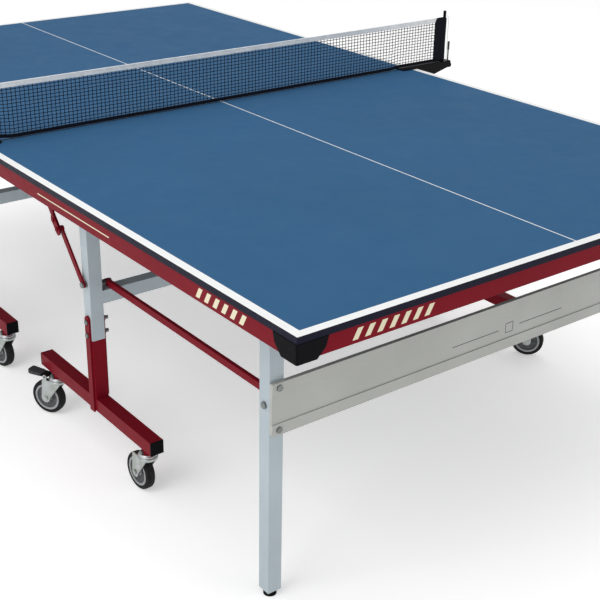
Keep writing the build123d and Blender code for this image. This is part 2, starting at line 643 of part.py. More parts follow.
# ---- net set --------------------------------------------------------------------------
def net():
    """Net panel between the two end pockets, each pocket bored for its pole."""
    panel = block(-NET_THICK / 2, NET_THICK / 2, -NET_Y + SLEEVE_W, NET_Y - SLEEVE_W,
                  TABLE_HEIGHT + NET_LIFT, NET_TOP)
    jaw_y = EDGE_Y - JAW_LENGTH - 2
    clamp_top = TABLE_HEIGHT + JAW_THICK + 1
    for side in (-1, 1):
        panel -= block(-NET_THICK, NET_THICK, side * jaw_y, side * NET_Y, TABLE_HEIGHT,
                       clamp_top)
    solids = [panel]
    for side in (-1, 1):
        y1 = side * NET_Y
        y0 = side * (NET_Y - SLEEVE_W)
        pocket = block(-SLEEVE_T / 2, SLEEVE_T / 2, y0, y1, TABLE_HEIGHT + POCKET_DROP, NET_TOP)
        pocket = fillet(pocket.edges().filter_by(Axis.Z), SLEEVE_T * 0.4)
        pocket -= rod_z(0, side * POLE_Y, TABLE_HEIGHT, NET_TOP + 1, POLE_R + 0.3)
        solids.append(pocket)
    return solids


def net_clamp(side):
    """Clamp resting on the table top, its outer arm, hook rod and the net's pole."""
    out = EDGE_Y + ARM_GAP
    top = TABLE_HEIGHT + JAW_THICK
    jaw = block(-JAW_WIDTH / 2, JAW_WIDTH / 2, EDGE_Y - JAW_LENGTH, out + JAW_THICK,
                TABLE_HEIGHT, top)
    jaw = fillet(jaw.edges().filter_by(Axis.Z).sort_by(Axis.Y)[:2], JAW_WIDTH * 0.2)
    outline = Polyline((out, top), (ARM_END, top), (ARM_END, top - ARM_DROP * 0.5),
                       (EDGE_Y + NET_OVERHANG * 0.5, TABLE_HEIGHT - ARM_DROP),
                       (out, TABLE_HEIGHT - ARM_DROP * 0.8), close=True)
    plane = Plane(origin=(-ARM_WIDTH / 2, 0, 0), x_dir=(0, 1, 0), z_dir=(1, 0, 0))
    body = jaw + extrude(plane * make_face(outline), ARM_WIDTH)
    body += rod_z(0, POLE_Y, TABLE_HEIGHT, NET_TOP + POLE_OVER, POLE_R)
    body += rod_z(0, ARM_END - HOOK_IN, TABLE_HEIGHT, TABLE_HEIGHT + HOOK_HEIGHT, HOOK_R)
    body -= rod_y(0, KNOB_Z, ARM_END - KNOB_STEM - 1, ARM_END + 1, AXLE_R + RUN)
    return body if side > 0 else mirror(body, about=Plane.XZ)


def net_knob(side):
    """Tension knob on the end of the clamp's arm."""
    knob = rod_y(0, KNOB_Z, ARM_END + SIDE_GAP, ARM_END + KNOB_LENGTH, KNOB_R)
    knob = fillet(knob.edges().filter_by(GeomType.CIRCLE), KNOB_ROUND)
    knob += rod_y(0, KNOB_Z, ARM_END - KNOB_STEM, ARM_END + 1, AXLE_R)
    return [knob if side > 0 else mirror(knob, about=Plane.XZ)]


# ---- writing the nodes ----------------------------------------------------------------
NEAR_PARTS = {
    "board": board, "edge_band": edge_band, "frame_rails": frame_rails,
    "corner_guards": corner_guards, "board_fittings": board_fittings, "posts": posts,
    "foot_frames": foot_frames, "end_caps": end_caps, "base_bolts": base_bolts,
    "end_legs": end_legs, "end_panel": end_panel, "leg_bolts": leg_bolts,
    "link_bars": link_bars, "brace_lower": brace_lower, "brace_upper": brace_upper,
}
# Wheel headings, in degrees, of the casters (side, braked or plain).
HEADINGS = {(-1, 0): 208.0, (-1, 1): 182.0, (1, 0): 35.0, (1, 1): 10.0}


def write(name, solids):
    """One STEP per node."""
    flat = [solid for shape in solids for solid in shape.solids()]
    node = flat[0] if len(flat) == 1 else Compound(children=flat)
    export_step(node, f"parts/{name}.step")


def half(name, turn):
    """All nodes of one half; turn is its rotation about Z."""
    place = Rot(0, 0, turn)
    for part, make in NEAR_PARTS.items():
        write(f"{name}_{part}", [place * shape for shape in make()])
    for side, word in ((-1, "a"), (1, "b")):
        feet = levelling_foot(side)
        write(f"{name}_foot_{word}", [place * shape for shape in feet])
        for index, x in enumerate(stems(side)):
            kind = ("brake", "plain")[index]
            heading = HEADINGS[side, index]
            parts = {"fork": [fork(kind == "brake")], "wheel": wheel()}
            if kind == "brake":
                parts["pedal"] = pedal()
            for part, shapes in parts.items():
                placed = [place * at_stem(x, side, heading, shape) for shape in shapes]
                write(f"{name}_{kind}_{part}_{word}", placed)


if __name__ == "__main__":
    os.makedirs("parts", exist_ok=True)
    half("near", 0)
    half("far", 180)
    write("net", net())
    for side, word in ((-1, "a"), (1, "b")):
        write(f"net_clamp_{word}", [net_clamp(side)])
        write(f"net_knob_{word}", net_knob(side))
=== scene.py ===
"""Looks of a folding table-tennis table: painted boards, steel frame, casters and net."""

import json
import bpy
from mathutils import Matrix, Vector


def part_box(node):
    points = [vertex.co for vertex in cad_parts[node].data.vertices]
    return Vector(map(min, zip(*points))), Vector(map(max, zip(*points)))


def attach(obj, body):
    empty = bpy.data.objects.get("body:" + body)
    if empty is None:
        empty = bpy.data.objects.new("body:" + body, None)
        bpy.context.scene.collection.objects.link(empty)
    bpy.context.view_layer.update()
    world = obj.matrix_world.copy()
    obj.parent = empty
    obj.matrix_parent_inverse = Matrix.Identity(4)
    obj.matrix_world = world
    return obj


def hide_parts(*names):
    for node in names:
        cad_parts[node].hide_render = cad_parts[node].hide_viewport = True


bl_info = {
    "name": "Folding table-tennis table",
    "version": (1, 0, 0),
    "blender": (4, 5, 0),
    "location": "3D View > Sidebar > Table",
    "description": "Finishes the boards, frame, casters and net of a roll-away table-tennis table",
    "category": "Object",
}

import bpy
import numpy as np
from mathutils import Matrix, Vector

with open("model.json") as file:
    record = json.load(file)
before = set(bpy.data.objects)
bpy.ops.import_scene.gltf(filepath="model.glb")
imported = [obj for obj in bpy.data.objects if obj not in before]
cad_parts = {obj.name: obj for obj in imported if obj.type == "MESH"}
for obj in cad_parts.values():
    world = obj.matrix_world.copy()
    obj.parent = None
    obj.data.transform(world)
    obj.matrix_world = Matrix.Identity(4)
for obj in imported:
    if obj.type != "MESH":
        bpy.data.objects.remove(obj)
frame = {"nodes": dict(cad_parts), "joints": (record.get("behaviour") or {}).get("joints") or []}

HALVES = ("near", "far")
BOARD_LOW, BOARD_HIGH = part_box("near_edge_band")
NET_LOW, NET_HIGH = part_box("net")
TOP_SKIN = 0.0003           # depth to which a board's sides carry the paint of its top
APRON_SKIN = 0.0045         # an apron's printed face lies this close to the board's edge
APRON_PRINT_Z = 0.7245      # middle height of the stripes
APRON_PRINT_HALF = 0.0115
STRIPE_LEAN = 0.55          # shift along the apron for each metre of height
STRIPE_SHARE = 0.45         # painted part of each pitch
END_STRIPES = (-1.023, 7)   # start of the block, measured down the lean to the floor, and stripes
SIDE_STRIPES = (0.642, 6)
SIDE_RULE = (0.51, 0.175)   # middle and half length of the rule on a side apron
SIDE_RULE_Z = (0.7235, 0.0014)
PANEL_MARK = (0.028, 0.474)  # middle of the panel's mark, across and up
PANEL_RULE = (0.11, 0.075)   # middle and half length of each rule beside the mark
PANEL_SQUARE = 0.012
TYRE_DEPTH = 0.011          # tyre outside its rim
TURN_SEGMENTS = 96          # steps round a wheel
WEB_SHADE = 0.36            # painted shade: the recessed rim web is drawn darker than its rings
ROD_RADIUS = 0.0025         # hook rod of a net clamp
ROD_SHADE = (0.16, 0.17, 0.18)
ROD_FOOT = 0.0055           # the rod is bare from this far over the board
BOLT_SHADE = 0.45           # bolts against the brighter forks
GRIP_TOP, GRIP_LENGTH = 0.0685, 0.030  # hook grip's top over the board, and its length
POLE_IN = 0.018             # net poles in from the net's ends
POCKET_IN = 0.034           # middle of the pockets
POCKET_HALF = 0.026         # and their half width
POCKET_LIFT = 0.0062        # their lower ends over the board, clear of the clamps
MESH_IN = 0.060             # and the mesh's ends
CLAMP_STEP = 0.0045         # hem's rise over a clamp
STITCH = 0.0008             # upright strands sewn this far into tape and hem
FLOOR_GAP = 0.0004          # floor below the feet
CAMERA_PLACE = (2.819, -1.886, 1.679)
CAMERA_AHEAD = (-0.7164, 0.55775, -0.41914)
CAMERA_RIGHT = (0.60799, 0.79376, 0.01709)
CAMERA_LENS, CAMERA_SENSOR = 70.07, 36.0


# ---- sizes and colours a user would change ------------------------------------------------
def colour(title, text, value):
    """A colour setting."""
    return bpy.props.FloatVectorProperty(name=title, description=text, subtype="COLOR", size=3,
                                         min=0.0, max=1.0, default=value)


def length(title, text, value):
    """A length setting in metres."""
    return bpy.props.FloatProperty(name=title, description=text, subtype="DISTANCE",
                                   unit="LENGTH", min=0.0, default=value)


class TABLE_PG_colours(bpy.types.PropertyGroup):
    """Colours of the paints, plastics and cloths."""

    playing_blue: colour("Playing surface", "Matt blue paint on the boards", (0.029, 0.108, 0.228))
    line_white: colour("Lines", "White line paint", (0.86, 0.87, 0.87))
    underside: colour("Underside", "Sealer under the boards", (0.045, 0.062, 0.070))
    lipping_navy: colour("Lipping", "Dark edge of the boards", (0.0055, 0.0065, 0.019))
    steel_red: colour("Red steel", "Powder coat of the aprons, feet and links", (0.180, 0.006, 0.014))
    steel_grey: colour("Grey steel", "Powder coat of the posts and legs", (0.405, 0.470, 0.505))
    panel_grey: colour("End panel", "Coat of the panel between the end legs", (0.42, 0.43, 0.405))
    motif_cream: colour("Apron stripes", "Printed stripes on the aprons", (0.74, 0.68, 0.50))
    black_plastic: colour("Black plastic", "Corner guards, caps and knobs", (0.0034, 0.0034, 0.0045))
    tyre_black: colour("Tyres", "Rubber of the caster tyres", (0.013, 0.013, 0.014))
    rim_grey: colour("Rims", "Plastic of the caster rims", (0.33, 0.34, 0.35))
    zinc: colour("Zinc", "Plating of forks, bolts and pins", (0.50, 0.53, 0.54))
    net_black: colour("Net", "Strands, hem and pockets of the net", (0.007, 0.0075, 0.013))
    tape_white: colour("Net tape", "Tape over the net's top cord", (0.88, 0.90, 0.91))


class TABLE_PG_lines(bpy.types.PropertyGroup):
    """Painted lines and printed stripes."""

    edge_line: length("Edge line", "Width of the side and end lines", 0.020)
    centre_line: length("Centre line", "Width of the line down the middle", 0.003)
    stripe_pitch: length("Stripe pitch", "From one slanted apron stripe to the next", 0.030)


class TABLE_PG_net(bpy.types.PropertyGroup):
    """Sizes of the net."""

    cell_width: length("Cell width", "Mesh cell along the net", 0.0124)
    cell_height: length("Cell height", "Mesh cell up the net", 0.0098)
    strand: length("Strand", "Diameter of a mesh strand", 0.0020)
    tape_height: length("Tape height", "Height of the white top tape", 0.015)
    hem_height: length("Hem height", "Height of the black lower hem", 0.010)
    sag: length("Sag", "How far the net's middle hangs under its ends", 0.0015)
    cord: length("Cord", "Diameter of the tension cord", 0.002)


class TABLE_PG_casters(bpy.types.PropertyGroup):
    """Details of the casters."""

    tread_depth: length("Tread depth", "Depth of the two grooves round a tyre", 0.0009)
    spokes: bpy.props.IntProperty(name="Spokes", description="Ribs on each face of a rim",
                                  min=3, max=24, default=8)


class TABLE_PG_stage(bpy.types.PropertyGroup):
    """Floor and light."""

    floor: colour("Floor", "Colour of the plain floor", (0.90, 0.90, 0.90))
    floor_half: length("Floor half width", "From the middle of the floor to its sides", 40.0)
    glow: bpy.props.FloatProperty(name="Floor glow", description="Light given off by the floor",
                                  min=0.0, default=0.38)
    sky: bpy.props.FloatProperty(name="Room light", description="Strength of the even light",
                                 min=0.0, default=0.62)
    key: bpy.props.FloatProperty(name="Key light", description="Power of the large soft box",
                                 unit="POWER", min=0.0, default=78.0)


def settings():
    """The table's settings on the current scene."""
    return bpy.context.scene.table_settings


class TABLE_PG_settings(bpy.types.PropertyGroup):
    """All settings of the table."""

    colours: bpy.props.PointerProperty(type=TABLE_PG_colours, name="Colours")
    lines: bpy.props.PointerProperty(type=TABLE_PG_lines, name="Lines")
    net: bpy.props.PointerProperty(type=TABLE_PG_net, name="Net")
    casters: bpy.props.PointerProperty(type=TABLE_PG_casters, name="Casters")
    stage: bpy.props.PointerProperty(type=TABLE_PG_stage, name="Stage")


# ---- surfaces ---------------------------------------------------------------------------
def grid_faces(rows, cols, around_rows=False):
    """Quads over a rows x cols grid of points whose columns close on themselves."""
    r, c = np.meshgrid(np.arange(rows if around_rows else rows - 1), np.arange(cols), indexing="ij")
    r1, c1 = (r + 1) % rows, (c + 1) % cols
    return np.stack([r * cols + c, r * cols + c1, r1 * cols + c1, r1 * cols + c], -1).reshape(-1, 4)


def piece(name, points, quads, ends=(), material=None, body=None, slot=None):
    """A mesh object from points, quads and the index lists of its end faces."""
    faces = quads.tolist() + [list(e) for e in ends]
    mesh = bpy.data.meshes.new(name)
    mesh.from_pydata(points.reshape(-1, 3).tolist(), [], faces)
    mesh.polygons.foreach_set("use_smooth", np.ones(len(faces), bool))
    mesh.validate()
    obj = bpy.data.objects.new(name, mesh)
    bpy.context.scene.collection.objects.link(obj)
    if material:
        mesh.materials.append(material)
    if body:
        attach(obj, body)
    return obj


def swept(name, rings, **made):
    """A closed skin through rings of points (rows of a grid), flat at its first and last ring."""
    rows, cols = rings.shape[:2]
    first, last = np.arange(cols), np.arange(cols) + (rows - 1) * cols
    return piece(name, rings, grid_faces(rows, cols), (first[::-1], last), **made)


def turned(name, centre, axis, profile, segments, ripple=None, **made):
    """A closed loop of (along, radius) pairs turned about an axis; ripple(along, radius, angle) moves
    points along the axis. Point = centre + along * axis + radius * (cos, sin) across the axis."""
    axis = Vector(axis).normalized()
    side = axis.orthogonal().normalized()
    up = axis.cross(side)
    angle = np.linspace(0, 2 * np.pi, segments, endpoint=False)
    along, radius = (profile[:, i][:, None] + 0 * angle for i in (0, 1))
    if ripple:
        along = ripple(along, radius, angle[None, :])
    points = (np.array(centre) + along[..., None] * np.array(axis)
              + (radius * np.cos(angle))[..., None] * np.array(side)
              + (radius * np.sin(angle))[..., None] * np.array(up))
    return piece(name, points, grid_faces(len(profile), segments, True)[:, ::-1], **made)


def smoothstep(low, high, value):
    """0 below low, 1 above high, and a smooth cubic between."""
    t = np.clip((value - low) / (high - low), 0, 1)
    return t * t * (3 - 2 * t)


def rounded_loop(count, power=0.5):
    """Points (a, b) round a superellipse of half size 1: cosine and sine, each raised to power."""
    t = np.linspace(0, 2 * np.pi, count, endpoint=False)
    c, s = np.cos(t), np.sin(t)
    return np.sign(c) * np.abs(c) ** power, np.sign(s) * np.abs(s) ** power


def tubes(paths, radius, sides):
    """Round tubes round many paths at once: paths is (tubes, steps, 3), each ring standing across its
    path's direction. Returns points, quads and end faces."""
    direction = np.gradient(paths, axis=1)
    direction /= np.linalg.norm(direction, axis=2, keepdims=True)
    flat = np.zeros_like(direction)
    flat[..., 0] = 1.0
    across = np.cross(direction, flat)
    across /= np.linalg.norm(across, axis=2, keepdims=True)
    third = np.cross(direction, across)
    angle = np.linspace(0, 2 * np.pi, sides, endpoint=False)
    rings = (paths[:, :, None] + radius * (across[:, :, None] * np.cos(angle)[:, None]
                                           + third[:, :, None] * np.sin(angle)[:, None]))
    count, steps = paths.shape[:2]
    start = np.arange(count)[:, None, None] * steps * sides
    quads = (start + grid_faces(steps, sides)[None]).reshape(-1, 4)
    ring = np.arange(sides)
    ends = np.concatenate([start[:, 0] + ring[::-1], start[:, 0] + (steps - 1) * sides + ring])
    return rings.reshape(-1, 3), quads, ends.tolist()


# ---- materials -------------------------------------------------------------------------
class Finish:
    """A node material being put together: each method adds one node and gives its result."""

    def __init__(self, name):
        self.material = bpy.data.materials.new(name)
        self.material.use_nodes = True
        self.tree = self.material.node_tree
        self.shader = next(n for n in self.tree.nodes if n.type == "BSDF_PRINCIPLED")
        self.where = self.tree.nodes.new("ShaderNodeTexCoord").outputs["Object"]

    def put(self, socket, value):
        """Set or link one socket."""
        if isinstance(value, bpy.types.NodeSocket):
            self.tree.links.new(value, socket)
        elif socket.type == "RGBA" and len(value) == 3:
            socket.default_value = (*value, 1.0)
        else:
            socket.default_value = value

    def node(self, kind, result, inputs, **options):
        """Add a node, fill its inputs and return the result socket."""
        made = self.tree.nodes.new(kind)
        for key, value in options.items():
            setattr(made, key, value)
        for key, value in inputs.items():
            self.put(made.inputs[key], value)
        return made.outputs[result]

    def shade(self, **sockets):
        """Fill the shader's sockets, named with underscores for spaces."""
        for key, value in sockets.items():
            self.put(self.shader.inputs[key.replace("_", " ")], value)
        return self.material

    def calc(self, operation, a, b=0.0):
        """One sum on numbers."""
        return self.node("ShaderNodeMath", 0, {0: a, 1: b}, operation=operation)

    def within(self, value, middle, half):
        """1 where value is within half of middle."""
        return self.node("ShaderNodeMath", 0, {0: value, 1: middle, 2: half}, operation="COMPARE")

    def axes(self):
        """X, Y and Z of the point."""
        split = self.tree.nodes.new("ShaderNodeSeparateXYZ")
        self.put(split.inputs[0], self.where)
        return split.outputs[0], split.outputs[1], split.outputs[2]

    def noise(self, scale, detail=2.0, roughness=0.5):
        """Soft cloudy pattern from 0 to 1."""
        return self.node("ShaderNodeTexNoise", 0, {"Vector": self.where, "Scale": scale,
                                                   "Detail": detail, "Roughness": roughness})

    def spread(self, value, low, high, start=0.3, end=0.7):
        """Value, from start to end, spread between low and high."""
        return self.node("ShaderNodeMapRange", 0, {"Value": value, "From Min": start, "From Max": end,
                                                   "To Min": low, "To Max": high})

    def mix(self, factor, a, b):
        """Colour a, going to colour b with factor."""
        return self.node("ShaderNodeMix", 2, {0: factor, 6: a, 7: b}, data_type="RGBA")

    def mottled(self, base, scale, amount):
        """Base colour a little darker and lighter in soft clouds."""
        dark, light = (tuple(min(1.0, c * (1 + sign * amount)) for c in base) for sign in (-1, 1))
        return self.mix(self.spread(self.noise(scale, 4.0), 0.0, 1.0), dark, light)

    def bump(self, height, distance, strength=1.0, normal=None):
        """Surface tilted by a height pattern."""
        inputs = {"Height": height, "Distance": distance, "Strength": strength}
        if normal:
            inputs["Normal"] = normal
        return self.node("ShaderNodeBump", 0, inputs)

    def soft_edges(self, radius):
        """Normals rounded over sharp corners."""
        return self.node("ShaderNodeBevel", 0, {"Radius": radius}, samples=4)


def painted_top(finish):
    """Blue paint with its white lines: a point is on a line when it is less than a line's width from
    an outer edge, or within half the centre line of the middle."""
    tint, lines = settings().colours, settings().lines
    x, y, _ = finish.axes()
    far_x, far_y = finish.calc("ABSOLUTE", x), finish.calc("ABSOLUTE", y)
    marks = (finish.calc("GREATER_THAN", far_x, BOARD_HIGH.x - lines.edge_line),
             finish.calc("GREATER_THAN", far_y, BOARD_HIGH.y - lines.edge_line),
             finish.calc("LESS_THAN", far_y, lines.centre_line / 2))
    line = finish.calc("MAXIMUM", finish.calc("MAXIMUM", marks[0], marks[1]), marks[2])
    blue = finish.mottled(tint.playing_blue, 3.0, 0.035)
    specks = finish.spread(finish.noise(900.0, 1.0), 0.0, 1.0, 0.60, 0.75)
    blue = finish.mix(finish.calc("MULTIPLY", specks, 0.18), blue,
                      tuple(c * 1.7 for c in tint.playing_blue))
    white = finish.mottled(tint.line_white, 60.0, 0.02)
    return finish.mix(line, blue, white), line


def playing_surface():
    """Matt rolled paint with slightly smoother lines on the top face, over a plain dark underside."""
    finish = Finish("playing_surface")
    paint, line = painted_top(finish)
    _, _, z = finish.axes()
    top = finish.calc("GREATER_THAN", z, BOARD_HIGH.z - TOP_SKIN)
    under = finish.mottled(settings().colours.underside, 9.0, 0.12)
    paint, line = finish.mix(top, under, paint), finish.calc("MULTIPLY", line, top)
    rough = finish.spread(finish.noise(14.0, 5.0, 0.65), 0.50, 0.62)
    rough = finish.calc("SUBTRACT", rough, finish.calc("MULTIPLY", line, 0.08))
    grain = finish.noise(1400.0, 2.0, 0.7)
    return finish.shade(Base_Color=paint, Roughness=rough, Specular_IOR_Level=0.06,
                        Normal=finish.bump(grain, 0.00012, 0.5))


def lipping():
    """Dark satin edge whose top face carries the board's paint."""
    finish = Finish("navy_lipping")
    paint, _ = painted_top(finish)
    _, _, z = finish.axes()
    top = finish.calc("GREATER_THAN", z, BOARD_HIGH.z - TOP_SKIN)
    dark = finish.mottled(settings().colours.lipping_navy, 25.0, 0.10)
    rough = finish.spread(finish.noise(120.0, 3.0), 0.32, 0.46)
    return finish.shade(Base_Color=finish.mix(top, dark, paint), Roughness=rough,
                        Specular_IOR_Level=0.07,
                        Normal=finish.bump(finish.noise(600.0), 0.0001, 0.4))


def powder_coat(name, base, rough, shine, decorate=None):
    """Baked powder paint: orange-peel ripple, faint clouding and softened corners."""
    finish = Finish(name)
    tint = finish.mottled(base, 7.0, 0.05)
    if decorate:
        tint = decorate(finish, tint)
    gloss = finish.spread(finish.noise(55.0, 4.0), rough - 0.05, rough + 0.06)
    peel = finish.noise(520.0, 1.5, 0.6)
    normal = finish.bump(peel, 0.00015, 0.45, finish.soft_edges(0.0012))
    return finish.shade(Base_Color=tint, Roughness=gloss, Normal=normal,
                        Specular_IOR_Level=shine)


def apron_stripes(finish, tint):
    """Slanted stripes in a block on each apron and a thin rule beside it: a stripe repeats each pitch
    along the apron, leaning with height, and shows only inside its block."""
    x, y, z = finish.axes()
    pitch = settings().lines.stripe_pitch
    far_x, far_y = finish.calc("ABSOLUTE", x), finish.calc("ABSOLUTE", y)
    turned_y = finish.calc("MULTIPLY", y, finish.calc("SIGN", x))
    lean = finish.calc("MULTIPLY", z, STRIPE_LEAN)

    def stripes(along, first, count, face):
        slanted = finish.calc("SUBTRACT", finish.calc("SUBTRACT", along, lean), first)
        phase = finish.calc("FRACT", finish.calc("DIVIDE", slanted, pitch))
        half = count * pitch / 2
        mark = finish.calc("MULTIPLY", finish.calc("LESS_THAN", phase, STRIPE_SHARE),
                           finish.within(slanted, half, half))
        mark = finish.calc("MULTIPLY", mark, finish.within(z, APRON_PRINT_Z, APRON_PRINT_HALF))
        return finish.calc("MULTIPLY", mark, face)

    end_face = finish.calc("GREATER_THAN", far_x, BOARD_HIGH.x - APRON_SKIN)
    side_face = finish.calc("GREATER_THAN", far_y, BOARD_HIGH.y - APRON_SKIN)
    rule = finish.calc("MULTIPLY", finish.within(far_x, *SIDE_RULE), finish.within(z, *SIDE_RULE_Z))
    rule = finish.calc("MULTIPLY", rule, side_face)
    mark = finish.calc("MAXIMUM", stripes(turned_y, *END_STRIPES, end_face),
                       stripes(far_x, *SIDE_STRIPES, side_face))
    mark = finish.calc("MAXIMUM", mark, rule)
    return finish.mix(mark, tint, settings().colours.motif_cream)


def panel_rule(finish, tint):
    """A thin dark rule printed on the end panel, broken by a small open square."""
    _, y, z = finish.axes()
    middle_y, middle_z = PANEL_MARK
    from_y = finish.calc("ABSOLUTE", finish.calc("SUBTRACT", y, middle_y))
    from_z = finish.calc("ABSOLUTE", finish.calc("SUBTRACT", z, middle_z))
    rule = finish.calc("MULTIPLY", finish.within(from_y, *PANEL_RULE), finish.within(z, middle_z, 0.0010))
    reach = finish.calc("MAXIMUM", from_y, from_z)
    mark = finish.calc("MAXIMUM", rule, finish.within(reach, PANEL_SQUARE, 0.0009))
    return finish.mix(mark, tint, (0.05, 0.05, 0.055))


def moulded(name, base, rough, grain=800.0):
    """Moulded plastic with a fine leathery grain."""
    finish = Finish(name)
    tint = finish.mottled(base, 30.0, 0.12)
    gloss = finish.spread(finish.noise(90.0, 3.0), rough - 0.06, rough + 0.08)
    return finish.shade(Base_Color=tint, Roughness=gloss, Specular_IOR_Level=0.04,
                        Normal=finish.bump(finish.noise(grain, 2.5, 0.6), 0.00018, 0.6,
                                           finish.soft_edges(0.0010)))


def zinc_plate(name, base):
    """Zinc with a faint warm bloom and fine drawing marks."""
    finish = Finish(name)
    bloom = finish.mix(finish.spread(finish.noise(45.0, 4.0), 0.0, 1.0), base,
                       (base[0] * 0.72, base[1] * 0.74, base[2] * 0.66))
    gloss = finish.spread(finish.noise(160.0, 4.0, 0.7), 0.26, 0.44)
    return finish.shade(Base_Color=bloom, Metallic=0.9, Roughness=gloss,
                        Normal=finish.bump(finish.noise(700.0, 2.0), 0.00008, 0.5,
                                           finish.soft_edges(0.0006)))


def rubber():
    """Tyre rubber with dust in its pores."""
    finish = Finish("tyre")
    dust = finish.spread(finish.noise(110.0, 5.0, 0.7), 0.0, 0.5, 0.45, 0.75)
    tint = finish.mix(dust, settings().colours.tyre_black, (0.06, 0.058, 0.055))
    return finish.shade(Base_Color=tint, Roughness=finish.spread(dust, 0.62, 0.85, 0.0, 0.5),
                        Specular_IOR_Level=0.08,
                        Normal=finish.bump(finish.noise(900.0, 2.0), 0.0002, 0.5))


def woven(name, base, thread, rough, hollow_shade=0.25):
    """Plain weave on the net's plane: threads along Y and Z cross over in turn, the height being the
    larger of the two sine waves, and painted shade darkening the hollows between them."""
    finish = Finish(name)
    _, y, z = finish.axes()
    waves = [finish.calc("SINE", finish.calc("MULTIPLY", v, 2 * np.pi / thread)) for v in (y, z)]
    cross = finish.calc("MAXIMUM", *waves)
    # painted shade: the hollows between the crossing threads are darkened towards black
    shade = finish.spread(cross, 1.0 - hollow_shade, 1.0, -1.0, 1.0)
    tint = finish.mottled(base, 35.0, 0.08)
    dark = finish.mix(1.0 - hollow_shade, (0.0, 0.0, 0.0), base)
    tint = finish.mix(shade, dark, tint)
    return finish.shade(Base_Color=tint, Roughness=rough, Specular_IOR_Level=0.1,
                        Normal=finish.bump(cross, thread * 0.25, 0.7))


def clamp_coat():
    """Satin black stoving paint on the clamp; its hook rod is bare zinc."""
    finish = Finish("black_steel")
    _, y, z = finish.axes()
    rod_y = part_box("net_clamp_b")[1].y - 2 * ROD_RADIUS - 0.001
    rod = finish.calc("MULTIPLY", finish.calc("GREATER_THAN", finish.calc("ABSOLUTE", y), rod_y),
                      finish.calc("GREATER_THAN", z, BOARD_HIGH.z + ROD_FOOT))
    black = finish.mottled(settings().colours.black_plastic, 40.0, 0.15)
    gloss = finish.spread(finish.noise(80.0, 4.0), 0.30, 0.46)
    return finish.shade(Base_Color=finish.mix(rod, black, ROD_SHADE), Roughness=gloss,
                        Specular_IOR_Level=0.08,
                        Metallic=finish.calc("MULTIPLY", rod, 0.9),
                        Normal=finish.bump(finish.noise(450.0), 0.00012, 0.4,
                                           finish.soft_edges(0.0008)))


def coat_nodes(names, material):
    """Give CAD nodes of both halves, or single nodes, one material."""
    wanted = [n for n in frame["nodes"]
              if n in names or n.split("_", 1)[1:] and n.split("_", 1)[1] in names]
    if not wanted:
        raise RuntimeError(f"no CAD node is called {names}")
    for name in wanted:
        mesh = frame["nodes"][name].data
        if not mesh.materials:
            mesh.materials.append(material)
        for i in range(len(mesh.materials)):
            mesh.materials[i] = material


def joint(name):
    """A joint of the frame by name."""
    return next(j for j in frame["joints"] if j["name"] == name)


def casters():
    """Half, kind and side letter of each caster."""
    return [(half, kind, letter) for half in HALVES for kind in ("brake", "plain") for letter in "ab"]


# ---- operators -------------------------------------------------------------------------
class TABLE_OT_boards(bpy.types.Operator):
    """Paint the two boards and their lipping"""

    bl_idname = "table.boards"
    bl_label = "Paint the boards"

    def execute(self, context):
        coat_nodes(("board",), playing_surface())
        coat_nodes(("edge_band",), lipping())
        return {"FINISHED"}


class TABLE_OT_steelwork(bpy.types.Operator):
    """Coat the rails, posts, legs, links, panels and fasteners"""

    bl_idname = "table.steelwork"
    bl_label = "Coat the steelwork"

    def execute(self, context):
        tint = settings().colours
        coat_nodes(("frame_rails",), powder_coat("red_apron", tint.steel_red, 0.36, 0.04, apron_stripes))
        coat_nodes(("foot_frames", "link_bars", "brace_lower", "brace_upper"),
                   powder_coat("red_steel", tint.steel_red, 0.36, 0.04))
        coat_nodes(("posts", "end_legs"), powder_coat("grey_steel", tint.steel_grey, 0.40, 0.2))
        coat_nodes(("end_panel",), powder_coat("grey_panel", tint.panel_grey, 0.42, 0.2, panel_rule))
        forks = tuple(f"{kind}_fork_{letter}" for kind in ("brake", "plain") for letter in "ab")
        coat_nodes(("board_fittings",) + forks, zinc_plate("zinc", tint.zinc))
        coat_nodes(("base_bolts", "leg_bolts"),
                   zinc_plate("bolt_zinc", tuple(c * BOLT_SHADE for c in tint.zinc)))
        coat_nodes(("net_clamp_a", "net_clamp_b"), clamp_coat())
        return {"FINISHED"}


class TABLE_OT_plastics(bpy.types.Operator):
    """Grain the corner guards, caps, levelling feet, pedals and knobs"""

    bl_idname = "table.plastics"
    bl_label = "Grain the plastic parts"

    def execute(self, context):
        tint = settings().colours
        black = moulded("black_plastic", tint.black_plastic, 0.48)
        coat_nodes(("corner_guards", "end_caps", "foot_a", "foot_b", "brake_pedal_a",
                    "brake_pedal_b", "net_knob_a", "net_knob_b"), black)
        return {"FINISHED"}


